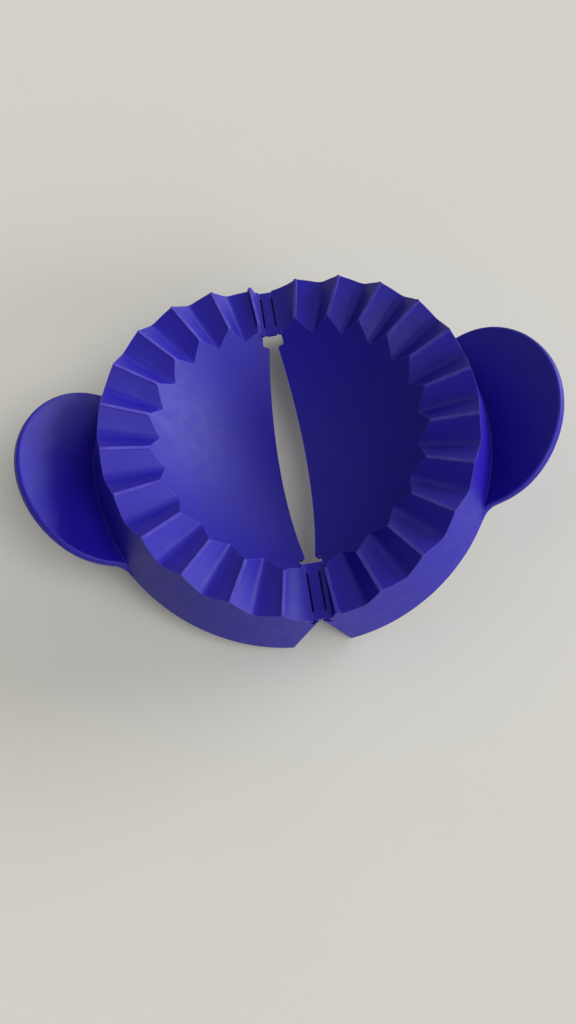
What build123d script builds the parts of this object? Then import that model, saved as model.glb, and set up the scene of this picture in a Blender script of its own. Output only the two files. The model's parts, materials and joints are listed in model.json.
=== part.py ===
from build123d import *
import os
from math import asin, atan, atan2, cos, hypot, radians, sin, sqrt, tan

# Folding empanada press, a single polypropylene moulding. Two equal half shells are
# joined end to end by two short straps, and each strap folds along two film hinges.
# A dough disc is cut with the skirts, laid across the open dishes and filled, and the
# handles are then swung together so that the corrugated rings crimp its edge.
#
# Rest frame: the table is z = 0, the straps lie on the Y axis, the handles point to -X
# and +X, and both halves are folded up by fold_angle from the flat, as-moulded state.
#
# Flat frame of a half: x runs outward from the plane between the halves, y along the
# hinge and z up from the tops of the crimp crests at the outer edge. Angles on the ring
# are counted from the near hinge (-y), through the handle (+x), to the far hinge (+y).
# The left half is the right half turned by 180 degrees about z.

# ---------------------------------------------------------------- driving dimensions, mm
flange_radius = 64.0          # outside of the crimp ring
parting_gap = 1.0             # between the straight edges of the halves when flat
fold_angle = 18.8             # each half, from flat to the rest pose, degrees

crest_count = 12              # crimp crests on a half ring
crest_phase = 0.25            # share of a pitch from the hinge to the first crest
crest_width = 1.1             # flat top of a crest
crest_height = 0.5            # straight sides of a crest, above its flanks
crimp_depth = 3.9             # crest top to valley floor
floor_radius_outer = 4.0      # rounding of a valley floor at the outer edge
floor_radius_inner = 2.0      # the same where the valley meets the dish
ring_fall = 0.7               # the ring drops this much from its outer edge to the rim
ring_wall = 1.9               # wall of the corrugated ring, square to its flanks

rim_radius = 48.2             # upper edge of the dish's sloping rim
dish_radius = 44.2            # lower edge of that rim, where the dish begins
rim_depth = 4.5               # lower edge of the rim below the crest tops
dish_depth = 16.2             # middle of the dish below the crest tops
dish_wall = 1.8

skirt_height = 31.0           # crest tops to the cutting edge of the skirt
skirt_bottom_radius = 63.0    # outside of the skirt at its cutting edge
skirt_wall = 1.6
skirt_end_gap = 0.4           # between the ends of the two skirts when flat
skirt_end_round = 0.8         # outer edge of a skirt's end

hinge_spacing = 4.1           # between the two fold lines of a strap
hinge_slot = 0.8              # free width across a fold line
film_thickness = 0.5
strap_level = 2.8             # strap top below the crest tops
strap_thickness = 1.0
strap_setback = 0.6           # strap's outer end inside the flange radius
strap_rim_gap = 0.4           # strap's inner end outside the dish radius
strap_under_clearance = 0.3   # strap underside to the shelves of the halves below it
shelf_setback = 2.4           # the shelves start this far behind the strap's inner end
inner_film_length = 3.2       # film at the dish end of a fold line
outer_film_length = 2.5       # film at the skirt end of a fold line
window_width = 1.5            # opening through the skirt under an outer film
window_depth = 2.0            # the same, below the top of the shelf
window_inset = 1.303          # the same, inside the skirt's wall

fin_angle = 5.3               # first crest, the fin beside the near hinge, degrees
fin_height = 2.2              # its straight side, on the side of the first valley
land_width = 1.25             # level strip of a half beside its fold line
relief_half_width = 3.0       # opening in front of a strap's inner end
relief_length = 2.9
relief_round = 1.0            # its corners, and those of the dish beside it

handle_length = 26.5          # from the flange radius to the tip, along the plate
handle_half_width = 32.6
handle_side = 3.2             # straight side between its flare and its crown
handle_shoulder = 0.915       # radius of the crown's shoulders, as a share of the crown
handle_flare = 7.0            # radius that blends the handle's sides into the skirt
handle_root_depth = 24.4      # middle of the plate below the crest tops, at the skirt
handle_slope = 20.1           # rise of the plate towards its tip, degrees
handle_thickness = 2.5
handle_edge_radius = 1.0      # upper edge; the lower one lies on the mould's parting plane

# ---------------------------------------------------------------- derived values
edge_x = parting_gap / 2
end_x = skirt_end_gap / 2
hinge_x = hinge_spacing / 2
hinge_z = -strap_level - film_thickness / 2
land_x = hinge_x + hinge_slot / 2
ring_depth = crimp_depth + ring_wall
strap_outer_y = flange_radius - strap_setback
strap_inner_y = dish_radius + strap_rim_gap
strap_underside = -strap_level - strap_thickness
shelf_top = strap_underside - strap_under_clearance
crest_pitch = 180 / crest_count
# With a quarter pitch from the hinge to the first crest, every crest of one half meets a
# valley of the other when the press is closed. The first crest, the fin, is moved
# outward to make room for the hinge.
crest_angles = [fin_angle] + [crest_pitch * (k + crest_phase) for k in range(1, crest_count)]

half_axis = Axis((edge_x, 0, 0), (0, 0, 1))
fold_axis = Axis((hinge_x, 0, hinge_z), (0, -1, 0))
lean = radians(fold_angle)
# The lowest points at rest are the ends of the two cutting edges.
table_lift = -(
    hinge_z + (end_x - hinge_x) * sin(lean) - (skirt_height + hinge_z) * cos(lean)
)
handle_bite = skirt_wall / 4  # depth of the handle's root in the skirt's wall
largest_round = 0.45          # largest edge radius, as a share of the plate's thickness
floor_overlap = 1.04          # a floor's cone, wider than the circles its flanks touch
past = 1.0                    # how far cutting tools run past what they cut
ring_overrun = 2.0            # the same for the valley tools, whose ends are straight chords


def skirt_outer(z):
    """Outside radius of the skirt at a height z."""
    return flange_radius + (flange_radius - skirt_bottom_radius) * z / skirt_height


def crest_level(radius):
    """Height of the crest tops at a radius."""
    return -ring_fall * (flange_radius - radius) / (flange_radius - rim_radius)


def floor_radius(radius):
    """Rounding of a valley floor at a radius."""
    share = (radius - dish_radius) / (flange_radius - dish_radius)
    return floor_radius_inner + (floor_radius_outer - floor_radius_inner) * share


def spoke_plane(angle, radius):
    """Plane square to a spoke of the ring; its x runs to larger angles, its y is up."""
    spoke = Vector(sin(radians(angle)), -cos(radians(angle)), 0)
    origin = Vector(edge_x, 0, crest_level(radius)) + spoke * radius
    return Plane(origin=origin, x_dir=Vector(0, 0, 1).cross(spoke), z_dir=spoke)


def across_plane(y):
    """Plane across the hinge at y; its x is the half's x and its y is up."""
    return Plane(origin=(0, y, 0), x_dir=(1, 0, 0), z_dir=(0, -1, 0))


def flank_slope(half_width, shoulder, radius):
    """Slope of a flank that runs from its shoulder and touches the rounded floor."""
    rounding = floor_radius(radius)
    shoulder_over_centre = crimp_depth - shoulder - rounding
    reach = hypot(half_width, shoulder_over_centre)
    return atan2(shoulder_over_centre, half_width) + asin(rounding / reach)


# ---------------------------------------------------------------- crimp ring tools
def valley_section(start, end, radius, start_shoulder):
    """Space between two crests, down to where their flanks touch the rounded floor."""
    half_angle = radians(end - start) / 2
    half_width = radius * tan(half_angle) - crest_width / 2
    rounding = floor_radius(radius)
    start_slope = flank_slope(half_width, start_shoulder, radius)
    end_slope = flank_slope(half_width, crest_height, radius)
    centre = rounding - crimp_depth
    start_touch = (-rounding * sin(start_slope), centre - rounding * cos(start_slope))
    end_touch = (rounding * sin(end_slope), centre - rounding * cos(end_slope))
    with BuildSketch(spoke_plane((start + end) / 2, radius)) as section:
        Polygon(
            start_touch,
            end_touch,
            (half_width, -crest_height),
            (half_width, past),
            (-half_width, past),
            (-half_width, -start_shoulder),
            align=None,
        )
    return section.sketch


def valley_floor(angle):
    """Rounded floor of the valley at an angle: a cone that narrows towards the dish."""
    growth = (floor_radius_outer - floor_radius_inner) / (flange_radius - dish_radius)
    fall = ring_fall / (flange_radius - rim_radius)
    # The cone's lowest line runs along the valley, and its highest is a diameter above.
    low_slope = atan(fall)
    high_slope = atan(fall + 2 * floor_overlap * growth)
    half_angle = (high_slope - low_slope) / 2
    tilt = low_slope + half_angle
    apex = spoke_plane(angle, dish_radius - floor_radius_inner / growth)
    along = Vector(0, 0, sin(tilt)) + apex.z_dir * cos(tilt)
    axis = Plane(origin=apex.origin - Vector(0, 0, crimp_depth), x_dir=apex.x_dir, z_dir=along)
    length = (flange_radius + ring_overrun - dish_radius) + floor_radius_inner / growth
    cone = Cone(0, length * tan(half_angle), length, align=(Align.CENTER, Align.CENTER, Align.MIN))
    return axis.location * cone


def valley_cutter(start, end, start_shoulder):
    """Space above one valley, from the dish to the outside of the ring."""
    radii = (dish_radius - ring_overrun, flange_radius + ring_overrun)
    sections = [valley_section(start, end, radius, start_shoulder) for radius in radii]
    return loft(sections, ruled=True)


def hollow_section(angle, radius):
    """Hollow under one crest, one ring_wall inside the flanks above it."""
    crest_half = crest_width / 2
    half_width = radius * tan(radians(crest_pitch) / 2) - crest_half
    slope = flank_slope(half_width, crest_height, radius)
    top = -crest_height - ring_wall / cos(slope)
    bottom = -ring_depth - past
    bottom_half = crest_half + (top - bottom) / tan(slope)
    with BuildSketch(spoke_plane(angle, radius)) as section:
        Polygon(
            (-crest_half, top),
            (-bottom_half, bottom),
            (bottom_half, bottom),
            (crest_half, top),
            align=None,
        )
    return section.sketch


def hollow_space():
    """Ring of space under the crests, between the dish's rim wall and the skirt."""
    rim_run = rim_radius - dish_radius
    rim_rise = rim_depth - ring_fall
    rim_offset = dish_wall * hypot(rim_run, rim_rise) / rim_rise
    bottom = -ring_depth - ring_fall - past
    with BuildSketch(profile_plane()) as space:
        Polygon(
            (rim_radius + rim_offset, -ring_fall),
            (rim_radius + rim_offset + (bottom + ring_fall) * rim_run / rim_rise, bottom),
            (skirt_outer(bottom) - skirt_wall, bottom),
            (skirt_outer(0) - skirt_wall, 0),
            align=None,
        )
    return revolve(space.sketch, axis=half_axis, revolution_arc=180)


def hollow_cutter(angle, space):
    radii = (dish_radius, flange_radius)
    return loft([hollow_section(angle, radius) for radius in radii], ruled=True) & space


# ---------------------------------------------------------------- hinge ends of the ring
def near_land_section(y):
    """Space above the level strip and the slope that rises from it to the fin."""
    fin_x = edge_x + y * tan(radians(fin_angle)) - crest_width / 2
    with BuildSketch(across_plane(-y)) as section:
        Polygon(
            (edge_x - past, past),
            (edge_x - past, -strap_level),
            (land_x + land_width, -strap_level),
            (fin_x, crest_level(y)),
            (fin_x, past),
            align=None,
        )
    return section.sketch


def far_land_section(y):
    """Space above the level strip and the hollow curve that rises to the last crest."""
    last_angle = radians(180 - crest_angles[-1])
    crest_x = edge_x + y * tan(last_angle) - crest_width / 2
    start_x = land_x + land_width
    rise = strap_level + crest_level(y) - crest_height
    run = crest_x - start_x
    curve_radius = (run**2 + rise**2) / (2 * rise)
    half_turn = asin(run / curve_radius) / 2
    middle = (
        start_x + curve_radius * sin(half_turn),
        -strap_level + curve_radius * (1 - cos(half_turn)),
    )
    with BuildSketch(across_plane(y)) as section:
        with BuildLine():
            ThreePointArc((start_x, -strap_level), middle, (crest_x, rise - strap_level))
            Polyline(
                (crest_x, rise - strap_level),
                (crest_x, past),
                (edge_x - past, past),
                (edge_x - past, -strap_level),
                (start_x, -strap_level),
            )
        make_face()
    return section.sketch


def land_cutter(section):
    ends = (dish_radius - ring_overrun, flange_radius + ring_overrun)
    return loft([section(y) for y in ends], ruled=True)


def block(x_range, y_range, z_range):
    """Axis-aligned block from three ranges."""
    (x0, x1), (y0, y1), (z0, z1) = x_range, sorted(y_range), z_range
    return Pos((x0 + x1) / 2, (y0 + y1) / 2, (z0 + z1) / 2) * Box(
        x1 - x0, y1 - y0, z1 - z0
    )


def hinge_pad(end):
    """Level pad that carries the inner film, in front of the dish's rim."""
    return block(
        (land_x, land_x + land_width),
        (end * strap_inner_y, end * (strap_inner_y + inner_film_length)),
        (-ring_depth, -strap_level),
    )


def hinge_clearance(end):
    """Room for the strap, below its inner end and pads, and below its outer film."""
    strap_room = block(
        (-past, land_x),
        (end * strap_inner_y, end * (flange_radius + past)),
        (shelf_top, past),
    )
    under_pad = block(
        (-past, relief_half_width),
        (end * strap_inner_y, end * (strap_inner_y + shelf_setback)),
        (-dish_depth, strap_underside),
    )
    window_bottom = shelf_top - window_depth
    window_y = skirt_outer(window_bottom) - skirt_wall - window_inset
    window = block(
        (hinge_x - window_width / 2, hinge_x + window_width / 2),
        (end * window_y, end * (flange_radius + past)),
        (window_bottom, shelf_top),
    )
    return [strap_room, under_pad, window]


def relief():
    """Opening in front of the far strap's inner end, rounded into the dish's edge."""
    inner_y = strap_inner_y - relief_length
    with BuildSketch() as opening:
        Polygon(
            (-past, strap_inner_y),
            (relief_half_width, strap_inner_y),
            (relief_half_width, inner_y),
            (edge_x, inner_y),
            (edge_x, inner_y - 2 * relief_round),
            (-past, inner_y - 2 * relief_round),
            align=None,
        )
        corners = opening.vertices().filter_by_position(Axis.Y, inner_y, inner_y)
        fillet(corners, relief_round)
    return Pos(0, 0, -dish_depth) * extrude(opening.sketch, amount=dish_depth + past)


def skirt_end_rounding():
    """What is cut from the far end of the skirt to round its outer edge."""
    draft = (flange_radius - skirt_bottom_radius) / skirt_height
    reach = skirt_height + past
    with BuildSketch() as corner:
        with Locations((end_x + skirt_end_round, flange_radius - skirt_end_round)):
            Rectangle(
                skirt_end_round + past,
                skirt_end_round + past,
                align=(Align.MAX, Align.MIN),
            )
            Circle(skirt_end_round, mode=Mode.SUBTRACT)
    return extrude(corner.sketch, amount=reach * hypot(1, draft), dir=(0, -draft, -1))


# ---------------------------------------------------------------- shell and handle
def profile_plane():
    """Plane of the half's section at the near hinge; its x is the radius."""
    return Plane(origin=(edge_x, 0, 0), x_dir=(0, -1, 0), z_dir=(-1, 0, 0))


def bowl(radius, centre_z):
    """Half of a sphere's cap, from the bottom of the dish up to the edge of its rim."""
    ball = Pos(edge_x, 0, centre_z) * Sphere(radius, rotation=(90, 0, 0))
    return ball & block(
        (edge_x, flange_radius),
        (-flange_radius, flange_radius),
        (centre_z - radius - past, -rim_depth),
    )


def shell_blank():
    """Half turn of the ring and skirt, with its dish, before the ring is corrugated."""
    cap_height = dish_depth - rim_depth
    dish_sphere = (dish_radius**2 + cap_height**2) / (2 * cap_height)
    centre_z = dish_sphere - dish_depth
    under_z = -ring_depth - ring_fall
    under_radius = sqrt((dish_sphere + dish_wall) ** 2 - (centre_z - under_z) ** 2)
    with BuildSketch(profile_plane()) as profile:
        Polygon(
            (dish_radius, -rim_depth),
            (rim_radius, -ring_fall),
            (flange_radius, 0),
            (skirt_bottom_radius, -skirt_height),
            (skirt_bottom_radius - skirt_wall, -skirt_height),
            (skirt_outer(-ring_depth) - skirt_wall, -ring_depth),
            (under_radius, under_z),
            align=None,
        )
    ring = revolve(profile.sketch, axis=half_axis, revolution_arc=180)
    # The ring and the skirt run on past the dish, nearly to the parting plane.
    near_end = extrude(profile.sketch, amount=edge_x - end_x)
    ring += [near_end, near_end.mirror(Plane.XZ)]
    return ring + (bowl(dish_sphere + dish_wall, centre_z) - bowl(dish_sphere, centre_z))


def handle():
    """Flat press handle, rounded like a D and flared into the skirt, on a rising plane."""
    slope = radians(handle_slope)
    root_x = edge_x + flange_radius
    # The flares' arcs end inside the skirt's outer face.
    wall_radius = skirt_outer(-handle_root_depth) - handle_bite
    flare_y = handle_half_width + handle_flare
    flare_reach = wall_radius + handle_flare
    flare_x = (edge_x + sqrt(flare_reach**2 - flare_y**2) - root_x) / cos(slope)
    touch_y = flare_y * wall_radius / flare_reach
    touch_x = flare_x - sqrt(handle_flare**2 - (flare_y - touch_y) ** 2)
    root_end = touch_x - handle_flare
    # The crown is a wide arc across the tip between two tighter shoulders.
    crown_x = flare_x + handle_side
    crown = handle_length - crown_x
    shoulder = handle_shoulder * min(crown, handle_half_width)
    shoulder_y = handle_half_width - shoulder
    tip_radius = (crown**2 + shoulder_y**2 - shoulder**2) / (2 * (crown - shoulder))
    tip_turn = asin(shoulder_y / (tip_radius - shoulder))
    shoulder_end = (
        handle_length - tip_radius * (1 - cos(tip_turn)),
        tip_radius * sin(tip_turn),
    )
    with BuildSketch() as outline:
        with BuildLine():
            Polyline((root_end, 0), (root_end, touch_y), (touch_x, touch_y))
            RadiusArc((touch_x, touch_y), (flare_x, handle_half_width), -handle_flare)
            Line((flare_x, handle_half_width), (crown_x, handle_half_width))
            RadiusArc((crown_x, handle_half_width), shoulder_end, shoulder)
            RadiusArc(shoulder_end, (handle_length, 0), tip_radius)
            mirror(about=Plane.XZ)
        make_face()
    plate = extrude(outline.sketch, amount=handle_thickness / 2, both=True)
    top_edges = plate.edges().group_by(Axis.Z)[-1]
    rim = [edge for edge in top_edges if edge.center().X > touch_x]
    plate = fillet(rim, min(handle_edge_radius, largest_round * handle_thickness))
    rising = Plane(
        origin=(root_x, 0, -handle_root_depth),
        x_dir=(cos(slope), 0, sin(slope)),
        z_dir=(-sin(slope), 0, cos(slope)),
    )
    inside = Pos(edge_x, 0, 0) * Cylinder(wall_radius - handle_bite, 2 * flange_radius)
    return rising.location * plate - inside


def half_shell():
    """One half in its flat frame."""
    space = hollow_space()
    cutters = [land_cutter(near_land_section), land_cutter(far_land_section)]
    for k, (start, end) in enumerate(zip(crest_angles, crest_angles[1:])):
        cutters.append(valley_cutter(start, end, fin_height if k == 0 else crest_height))
        cutters.append(valley_floor((start + end) / 2))
    cutters += [hollow_cutter(angle, space) for angle in crest_angles[1:]]
    shell = shell_blank() - cutters
    shell += [hinge_pad(end) for end in (-1, 1)]
    cuts = [relief(), skirt_end_rounding()]
    cuts += [cut.mirror(Plane.XZ) for cut in cuts]
    shell -= cuts + hinge_clearance(-1) + hinge_clearance(1)
    return shell + handle()


# ---------------------------------------------------------------- straps and films
def strap(end):
    """Stiff link between the two fold lines of one end."""
    half_width = hinge_x - hinge_slot / 2
    return block(
        (-half_width, half_width),
        (end * strap_inner_y, end * strap_outer_y),
        (strap_underside, -strap_level),
    )


def film(y_range):
    """Film across the right fold line, bent as far as the half beside it is folded."""
    start_x = hinge_x - hinge_slot / 2
    bend_radius = hinge_slot / 2 / tan(lean / 2)
    centre = (start_x, hinge_z + bend_radius)
    inside = bend_radius - film_thickness / 2
    outside = bend_radius + film_thickness / 2
    with BuildSketch(across_plane(0)) as section:
        with BuildLine():
            upper = CenterArc(centre, inside, -90, fold_angle)
            lower = CenterArc(centre, outside, -90, fold_angle)
            Line(upper @ 0, lower @ 0)
            Line(upper @ 1, lower @ 1)
        make_face()
    near, far = sorted(y_range)
    bent = extrude(section.sketch, amount=(far - near) / 2, both=True)
    return Pos(0, (near + far) / 2, 0) * bent


def film_ranges(end):
    """Where the inner and the outer film of a fold line lie along it."""
    return {
        "inner": (end * strap_inner_y, end * (strap_inner_y + inner_film_length)),
        "outer": (end * (strap_outer_y - outer_film_length), end * strap_outer_y),
    }


# ---------------------------------------------------------------- the press at rest
def on_table(shape):
    return Pos(0, 0, table_lift) * shape


def press():
    """Every piece at its place in the rest frame, by name."""
    right = half_shell().rotate(fold_axis, fold_angle)
    pieces = {"right_half": right, "left_half": right.rotate(Axis.Z, 180)}
    for end, end_name in ((-1, "near"), (1, "far")):
        pieces[f"{end_name}_hinge_strap"] = strap(end)
        for place, y_range in film_ranges(end).items():
            right_film = film(y_range)
            pieces[f"{end_name}_right_{place}_film"] = right_film
            pieces[f"{end_name}_left_{place}_film"] = right_film.mirror(Plane.YZ)
    return {name: on_table(piece) for name, piece in pieces.items()}


os.makedirs("parts", exist_ok=True)
for name, piece in press().items():
    export_step(piece, f"parts/{name}.step")
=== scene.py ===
import json
from math import cos, pi, radians, sin, tan

import bpy
from mathutils import Matrix, Vector


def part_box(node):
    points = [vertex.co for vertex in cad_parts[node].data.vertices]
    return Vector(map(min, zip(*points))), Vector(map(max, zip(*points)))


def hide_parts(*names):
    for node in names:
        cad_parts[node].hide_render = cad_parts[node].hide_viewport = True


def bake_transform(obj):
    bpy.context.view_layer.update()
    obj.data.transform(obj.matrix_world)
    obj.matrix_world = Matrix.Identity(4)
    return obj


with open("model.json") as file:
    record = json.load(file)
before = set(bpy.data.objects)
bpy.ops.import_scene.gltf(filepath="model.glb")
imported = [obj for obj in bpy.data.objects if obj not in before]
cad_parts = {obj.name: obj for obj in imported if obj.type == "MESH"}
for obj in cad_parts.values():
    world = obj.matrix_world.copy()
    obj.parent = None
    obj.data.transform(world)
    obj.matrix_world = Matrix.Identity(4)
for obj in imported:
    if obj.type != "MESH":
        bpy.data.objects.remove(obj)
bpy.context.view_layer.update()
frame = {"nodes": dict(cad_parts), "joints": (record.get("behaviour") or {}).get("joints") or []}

# Looks of a folding empanada press, one blue-violet polypropylene moulding, around its
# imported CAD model. Everything is in metres, in the frame of the model: the table is
# z = 0, the handles point to -X and +X, and the folds run along Y.

mm = 0.001

# ------------------------------------------------------------------ camera
camera_target = Vector((-4.7, -26.9, 30.0)) * mm
camera_distance = 298.0 * mm
camera_yaw = radians(-1.38)
camera_elevation = radians(65.06)
camera_roll = radians(-7.86)
frame_height_pixels = 1024
focal_length_pixels = 921.5
sensor_size_mm = 36.0

# ------------------------------------------------------------------ colours, linear
plastic_colour = (0.0090, 0.0024, 0.285)
plastic_deep_colour = (0.0074, 0.0016, 0.258)
# painted highlight: a paler colour put on edges and crest tops for the light they catch
painted_highlight_colour = (0.085, 0.066, 0.450)
floor_colour = (0.770, 0.755, 0.690)
backdrop_colour = (0.600, 0.600, 0.590)

# ------------------------------------------------------------------ surface of the plastic
# The grain, the flow marks and the tone are noises; a scale is in cycles per metre.
grain_scale = 1700.0
grain_strength, grain_depth = 0.40, 0.08 * mm
flow_scale = 260.0
flow_detail = 4.0
flow_strength, flow_depth = 0.06, 0.10 * mm
tone_scale = 45.0
noise_detail = 3.0
# Each pair of limits is the part of a noise that is spread over a full change.
tone_limits = (0.35, 0.65)
patch_limits = (0.30, 0.70)
roughness_limits = (0.25, 0.75)
roughness_range = (0.42, 0.52)
highlight_range = (0.35, 0.80)    # how much of the painted highlight colour a patch of an edge shows
plastic_ior = 1.49
plastic_specular = 0.30

strap_rounding = 0.12 * mm   # edge radii, as shaded
film_rounding = 0.08 * mm
half_rounding = 0.30 * mm
highlight_width = 1.5             # width of the edges painted paler as a highlight, as a multiple of their rounding
bevel_samples = 6
# Cosine between the rounded and the true normal: on a flat face, and well on an edge.
edge_limits = (0.985, 0.92)
# Cosine between the bowl's and the true normal: on another face, and on the bowl.
bowl_limits = (0.945, 0.965)

# ------------------------------------------------------------------ table
mottle_scale = 6.0
mottle_shade = 0.97          # the darker patches, as a share of the floor's colour
table_roughness = 0.60
floor_half_width = 3.0

# ------------------------------------------------------------------ lights
# name: azimuth and elevation of the light seen from the press in degrees (azimuth 0 is
# +X, 90 is +Y), and its strength in watts per square metre. Each is a soft light, as wide
# as light_width, from far away, so that the table is lit evenly.
lights = {
    "window": (15, 12, 3.0),
    "window_front": (-45, 12, 1.9),
    "window_back": (45, 12, 0.7),
    "near_wall": (-90, 20, 0.3),
    "ceiling": (-45, 58, 1.1),
    "ceiling_back": (135, 58, 0.2),
    "far_wall": (90, 28, 0.2),
}
light_width = radians(38.6)
ambient_strength = 0.10
backdrop_strength = 1.0      # as the camera and reflections see it

# ------------------------------------------------------------------ a half, for its shading
# The same sizes as in the part, on a half in its flat state.
dish_radius = 44.2 * mm
dish_depth = 16.2 * mm       # middle of the dish below the crest tops
rim_depth = 4.5 * mm         # edge of the dish below the crest tops
strap_level = 2.8 * mm       # strap tops below the crest tops
parting_gap = 1.0 * mm       # between the halves when flat
rim_radius = 48.2 * mm       # inner and outer ends of the crimp ring
flange_radius = 64.0 * mm
ring_fall = 0.7 * mm         # the crests drop this much from the outer end to the inner
bowl_clearance = 2.0 * mm    # this far outside the bowl, nothing is shaded as part of it
crest_highlight_depth = 0.20 * mm       # the crests are painted paler, as a highlight, down to this far below their tops

# ------------------------------------------------------------------ hinge films
film_waist = 0.62            # thickness of a film at its fold, as a share of its ends
film_embed = 0.04 * mm       # how far a film runs into what it joins
film_steps_across = 12
film_steps_along = 6

node_spacing = 220           # between two nodes of a material, in the node editor


# ------------------------------------------------------------------ shader helpers
def place(made, column, row):
    """Give a node its place in the editor; a spot below is such a column and row."""
    made.location = (column * node_spacing, row * -node_spacing)
    return made


def noise(tree, spot, coords, scale, detail=noise_detail):
    made = place(tree.nodes.new("ShaderNodeTexNoise"), *spot)
    made.inputs["Scale"].default_value = scale
    made.inputs["Detail"].default_value = detail
    tree.links.new(coords, made.inputs["Vector"])
    return made.outputs["Fac"]


def ranged(tree, spot, value, start, end=(0.0, 1.0)):
    """Map a value from the range start to the range end, clamped."""
    made = place(tree.nodes.new("ShaderNodeMapRange"), *spot)
    names = ("From Min", "From Max", "To Min", "To Max")
    for name, number in zip(names, (*start, *end)):
        made.inputs[name].default_value = number
    tree.links.new(value, made.inputs["Value"])
    return made.outputs["Result"]


def mixed(tree, spot, factor, first, second):
    """Colour between two, each a colour or a socket."""
    made = place(tree.nodes.new("ShaderNodeMix"), *spot)
    made.data_type = "RGBA"
    tree.links.new(factor, made.inputs[0])
    for socket, colour in ((made.inputs[6], first), (made.inputs[7], second)):
        if isinstance(colour, tuple):
            socket.default_value = (*colour, 1)
        else:
            tree.links.new(colour, socket)
    return made.outputs[2]


def maths(tree, spot, operation, first, second):
    """Math of two sockets."""
    made = place(tree.nodes.new("ShaderNodeMath"), *spot)
    made.operation = operation
    tree.links.new(first, made.inputs[0])
    tree.links.new(second, made.inputs[1])
    return made.outputs["Value"]


def bump(tree, spot, height, normal, strength, depth):
    """The normal, disturbed by a height."""
    made = place(tree.nodes.new("ShaderNodeBump"), *spot)
    made.inputs["Strength"].default_value = strength
    made.inputs["Distance"].default_value = depth
    tree.links.new(height, made.inputs["Height"])
    tree.links.new(normal, made.inputs["Normal"])
    return made.outputs["Normal"]


def vector_math(tree, spot, operation, first, second):
    """Vector Math of two inputs, each a socket or a constant."""
    made = place(tree.nodes.new("ShaderNodeVectorMath"), *spot)
    made.operation = operation
    for socket, value in zip(made.inputs, (first, second)):
        if isinstance(value, Vector):
            socket.default_value = value
        else:
            tree.links.new(value, socket)
    return made


def rounded_normal(tree, spot, radius):
    """The normal, as if every edge had this radius."""
    made = place(tree.nodes.new("ShaderNodeBevel"), *spot)
    made.samples = bevel_samples
    made.inputs["Radius"].default_value = radius
    return made.outputs["Normal"]


def edge_mask(tree, width):
    """1 on the edges of the shape, fading out this far from them."""
    geometry = place(tree.nodes.new("ShaderNodeNewGeometry"), -6, 4)
    rounded = rounded_normal(tree, (-6, 5), width)
    true_normal = geometry.outputs["Normal"]
    agreement = vector_math(tree, (-5, 4), "DOT_PRODUCT", rounded, true_normal)
    return ranged(tree, (-4, 4), agreement.outputs["Value"], edge_limits)


def crest_mask(tree, coords, half):
    """1 on the tops of the crimp crests of a half."""
    from_centre = vector_math(tree, (-7, 9), "SUBTRACT", coords, half.crest_centre)
    offset = from_centre.outputs["Vector"]
    height = vector_math(tree, (-6, 9), "DOT_PRODUCT", offset, half.up).outputs["Value"]
    length = place(tree.nodes.new("ShaderNodeVectorMath"), -6, 10)
    length.operation = "LENGTH"
    tree.links.new(offset, length.inputs[0])
    ends = (rim_radius, flange_radius)
    level = ranged(tree, (-5, 10), length.outputs["Value"], ends, (-ring_fall, 0.0))
    above = maths(tree, (-4, 9), "SUBTRACT", height, level)
    return ranged(tree, (-3, 9), above, (-crest_highlight_depth, -crest_highlight_depth / 2))


def smooth_bowl(tree, coords, normal, half):
    """The normal, but that of one round bowl where the dish rises into its steeper rim."""
    centre = half.dish_centre
    towards = vector_math(tree, (-7, 6), "SUBTRACT", centre, coords).outputs["Vector"]
    turned = place(tree.nodes.new("ShaderNodeVectorTransform"), -6, 6)
    turned.vector_type = "NORMAL"
    turned.convert_from = "OBJECT"
    turned.convert_to = "WORLD"
    tree.links.new(towards, turned.inputs["Vector"])
    bowl_normal = turned.outputs["Vector"]
    geometry = place(tree.nodes.new("ShaderNodeNewGeometry"), -6, 7)
    true_normal = geometry.outputs["Normal"]
    agreement = vector_math(tree, (-5, 6), "DOT_PRODUCT", bowl_normal, true_normal)
    facing = ranged(tree, (-4, 6), agreement.outputs["Value"], bowl_limits)
    distance = vector_math(tree, (-6, 8), "DISTANCE", centre, coords).outputs["Value"]
    far, close = half.bowl_radius + bowl_clearance, half.bowl_radius + bowl_clearance / 2
    near = ranged(tree, (-4, 7), distance, (far, close))
    share = maths(tree, (-3, 6), "MULTIPLY", facing, near)
    blended = place(tree.nodes.new("ShaderNodeMix"), -2, 6)
    blended.data_type = "VECTOR"
    tree.links.new(share, blended.inputs[0])
    tree.links.new(normal, blended.inputs[4])
    tree.links.new(bowl_normal, blended.inputs[5])
    return blended.outputs[1]


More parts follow.
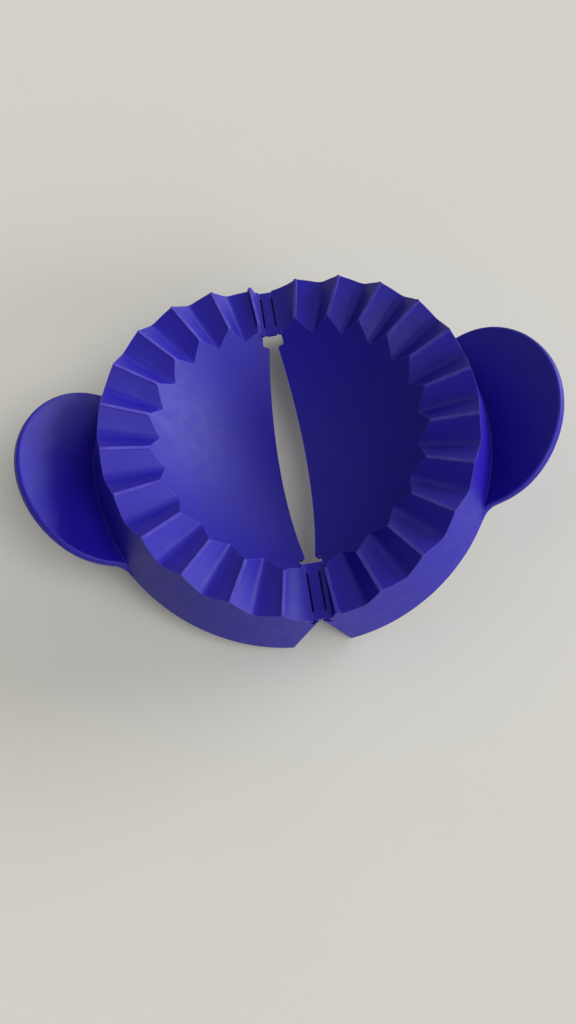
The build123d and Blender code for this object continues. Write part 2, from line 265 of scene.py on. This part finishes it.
# ------------------------------------------------------------------ materials
def moulded_plastic(name, edge_radius, half=None):
    """Satin moulded polypropylene: fine grain, faint flow marks, edges painted paler as a
    highlight.

    A half, where it is given, also has crest tops painted paler as a highlight, and a smoothly
    shaded bowl.
    """
    material = bpy.data.materials.new(name)
    material.use_nodes = True
    tree = material.node_tree
    shader = tree.nodes["Principled BSDF"]
    coords = place(tree.nodes.new("ShaderNodeTexCoord"), -8, 0).outputs["Object"]
    tone = noise(tree, (-7, 0), coords, tone_scale)
    flow = noise(tree, (-7, 1), coords, flow_scale, flow_detail)
    grain = noise(tree, (-7, 2), coords, grain_scale)
    normal = rounded_normal(tree, (-6, 3), edge_radius)
    # Edges and crest tops, where a paler colour is painted as a highlight.
    edges = edge_mask(tree, highlight_width * edge_radius)
    if half:
        normal = smooth_bowl(tree, coords, normal, half)
        edges = maths(tree, (-3, 4), "MAXIMUM", edges, crest_mask(tree, coords, half))

    tone = ranged(tree, (-5, 0), tone, tone_limits)
    body = mixed(tree, (-4, 0), tone, plastic_deep_colour, plastic_colour)
    patches = ranged(tree, (-5, 1), flow, patch_limits, highlight_range)
    # Painted highlight: the paler colour on edges and crest tops, in patches.
    highlight_share = maths(tree, (-3, 1), "MULTIPLY", edges, patches)
    colour = mixed(tree, (-2, 0), highlight_share, body, painted_highlight_colour)
    tree.links.new(colour, shader.inputs["Base Color"])

    roughness = ranged(tree, (-4, 2), flow, roughness_limits, roughness_range)
    tree.links.new(roughness, shader.inputs["Roughness"])
    normal = bump(tree, (-3, 3), grain, normal, grain_strength, grain_depth)
    normal = bump(tree, (-2, 3), flow, normal, flow_strength, flow_depth)
    tree.links.new(normal, shader.inputs["Normal"])
    shader.inputs["IOR"].default_value = plastic_ior
    shader.inputs["Specular IOR Level"].default_value = plastic_specular
    return material


def table_top():
    """Pale matte table top with a barely visible mottle."""
    material = bpy.data.materials.new("table_top")
    material.use_nodes = True
    tree = material.node_tree
    shader = tree.nodes["Principled BSDF"]
    coords = place(tree.nodes.new("ShaderNodeTexCoord"), -5, 0).outputs["Object"]
    mottle = noise(tree, (-4, 0), coords, mottle_scale)
    darker = tuple(mottle_shade * value for value in floor_colour)
    colour = mixed(tree, (-2, 0), mottle, darker, floor_colour)
    tree.links.new(colour, shader.inputs["Base Color"])
    shader.inputs["Roughness"].default_value = table_roughness
    # A gloss would turn white towards the horizon in views against the light.
    shader.inputs["Specular IOR Level"].default_value = 0.0
    return material


# ------------------------------------------------------------------ the press's frame
def hinge_of(side_name):
    """Fold line of a half, +1 or -1 for its side, and how far it leans up at rest."""
    joint = next(j for j in frame["joints"] if j["name"] == f"{side_name}_hinge")
    side = 1 if side_name == "right" else -1
    flat_angle = joint["range_deg"][0]
    return Vector(joint["pos_m"]), side, -radians(flat_angle)


class Half:
    """Places on a half at rest, worked out in its flat state and folded up with it."""

    def __init__(self, side_name):
        self.fold, self.side, self.lean = hinge_of(side_name)
        half_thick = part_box("near_hinge_strap")[1].z - self.fold.z
        cap_height = dish_depth - rim_depth
        axis_x = parting_gap / 2 - abs(self.fold.x)
        crest_z = strap_level + half_thick
        self.bowl_radius = (dish_radius**2 + cap_height**2) / (2 * cap_height)
        self.crest_centre = self.fold + self.folded(axis_x, crest_z)
        dish_z = crest_z - dish_depth + self.bowl_radius
        self.dish_centre = self.fold + self.folded(axis_x, dish_z)
        self.up = self.folded(0, 1)

    def folded(self, outward, above):
        """Vector that points outward and up from the hinge when flat, turned to rest."""
        x = outward * cos(self.lean) - above * sin(self.lean)
        z = outward * sin(self.lean) + above * cos(self.lean)
        return Vector((self.side * x, 0, z))


# ------------------------------------------------------------------ hinge films
def film_section(side, strap_edge, fold, lean, half_thick):
    """Outline of a film across its fold, as (x, z) points round its top and underside."""
    half_slot = fold.x * side - strap_edge
    bend_radius = half_slot / tan(lean / 2)
    top, underside = [], []
    for step in range(film_steps_across + 1):
        share = step / film_steps_across
        turn = lean * share
        # The ends run straight on into the strap and the half.
        run_on = film_embed * ((share == 1) - (share == 0))
        thinning = 1 - (1 - film_waist) * sin(pi * share)
        under = half_thick * (1 - 2 * thinning)
        for points, offset in ((top, half_thick), (underside, under)):
            reach = bend_radius - offset
            x = strap_edge + reach * sin(turn) + run_on * cos(turn)
            z = fold.z + bend_radius - reach * cos(turn) + run_on * sin(turn)
            points.append((side * x, z))
    return top, underside


def film_mesh(name, top, underside, start_y, end_y):
    """Solid strip with this section, from start_y to end_y."""
    ring = top + underside[::-1]
    count = len(ring)
    vertices = []
    for step in range(film_steps_along + 1):
        y = start_y + (end_y - start_y) * step / film_steps_along
        vertices += [(x, y, z) for x, z in ring]
    faces = []
    for step in range(film_steps_along):
        base = step * count
        above = base + count
        for k in range(count):
            following = (k + 1) % count
            faces.append((base + k, base + following, above + following, above + k))
    last = film_steps_along * count
    for k in range(len(top) - 1):
        opposite = count - 1 - k
        faces.append((k, opposite, opposite - 1, k + 1))
        faces.append((last + k, last + k + 1, last + opposite - 1, last + opposite))
    mesh = bpy.data.meshes.new(name)
    mesh.from_pydata(vertices, [], faces)
    mesh.validate()
    mesh.update()
    return mesh


def film_web(node_name, material):
    """Thin web from a strap to a half: waisted at the fold, and bending about it."""
    end_name, side_name = node_name.split("_")[:2]
    fold, side, lean = hinge_of(side_name)
    strap_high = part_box(f"{end_name}_hinge_strap")[1]
    low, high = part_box(node_name)
    half_thick = strap_high.z - fold.z
    top, underside = film_section(side, strap_high.x, fold, lean, half_thick)
    name = node_name.replace("_film", "_web")
    web = bpy.data.objects.new(name, film_mesh(name, top, underside, low.y, high.y))
    bpy.context.scene.collection.objects.link(web)
    web.data.materials.append(material)
    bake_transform(web)
    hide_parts(node_name)


# ------------------------------------------------------------------ stage
def floor():
    half = floor_half_width
    mesh = bpy.data.meshes.new("floor")
    corners = [(-half, -half, 0), (half, -half, 0), (half, half, 0), (-half, half, 0)]
    mesh.from_pydata(corners, [], [(0, 1, 2, 3)])
    made = bpy.data.objects.new("floor", mesh)
    bpy.context.scene.collection.objects.link(made)
    mesh.materials.append(table_top())


def soft_light(name, azimuth, elevation, strength):
    """Distant light that shines from a direction on the press."""
    light = bpy.data.lights.new(name, "SUN")
    light.angle = light_width
    light.energy = strength
    around, above = radians(azimuth), radians(elevation)
    direction = Vector((cos(around) * cos(above), sin(around) * cos(above), sin(above)))
    made = bpy.data.objects.new(name, light)
    made.location = direction
    made.rotation_mode = "QUATERNION"
    made.rotation_quaternion = direction.to_track_quat("Z", "Y")
    bpy.context.scene.collection.objects.link(made)


def surroundings():
    """Soft light from everywhere; the camera and reflections see a plain backdrop."""
    world = bpy.data.worlds.new("surroundings")
    bpy.context.scene.world = world
    world.use_nodes = True
    tree = world.node_tree
    tree.nodes.clear()
    rays = place(tree.nodes.new("ShaderNodeLightPath"), -3, 0)
    seen = rays.outputs["Is Camera Ray"]
    seen = maths(tree, (-2, 0), "MAXIMUM", seen, rays.outputs["Is Glossy Ray"])
    seen = maths(tree, (-1, 0), "MAXIMUM", seen, rays.outputs["Is Transmission Ray"])
    strengths = (ambient_strength, backdrop_strength)
    strength = ranged(tree, (0, 1), seen, (0.0, 1.0), strengths)
    background = place(tree.nodes.new("ShaderNodeBackground"), 1, 0)
    background.inputs["Color"].default_value = (*backdrop_colour, 1)
    tree.links.new(strength, background.inputs["Strength"])
    output = place(tree.nodes.new("ShaderNodeOutputWorld"), 2, 0)
    tree.links.new(background.outputs["Background"], output.inputs["Surface"])


def camera():
    """Camera at the photograph's place, aimed at camera_target and rolled."""
    back = Vector((
        sin(camera_yaw) * cos(camera_elevation),
        -cos(camera_yaw) * cos(camera_elevation),
        sin(camera_elevation),
    ))
    level = Vector((0, 0, 1)).cross(back).normalized()
    upward = back.cross(level)
    right = level * cos(camera_roll) + upward * sin(camera_roll)
    up = upward * cos(camera_roll) - level * sin(camera_roll)
    data = bpy.data.cameras.new("camera")
    data.sensor_width = sensor_size_mm
    data.lens = focal_length_pixels / frame_height_pixels * sensor_size_mm
    data.clip_start = 10 * mm
    made = bpy.data.objects.new("camera", data)
    turn = Matrix((right, up, back)).transposed().to_4x4()
    made.matrix_world = Matrix.Translation(camera_target + back * camera_distance) @ turn
    bpy.context.scene.collection.objects.link(made)
    bpy.context.scene.camera = made


# ------------------------------------------------------------------ scene
camera()
floor()
surroundings()
for name, values in lights.items():
    soft_light(name, *values)
bpy.context.scene.view_settings.view_transform = "Standard"

plastic = moulded_plastic("blue_violet_plastic", strap_rounding)
film_plastic = moulded_plastic("blue_violet_film", film_rounding)
half_plastics = {
    f"{side}_half": moulded_plastic(f"blue_violet_{side}_half", half_rounding, Half(side))
    for side in ("right", "left")
}
for name, made in frame["nodes"].items():
    made.data.materials.clear()
    made.data.materials.append(half_plastics.get(name, plastic))
    if name.endswith("_film"):
        film_web(name, film_plastic)
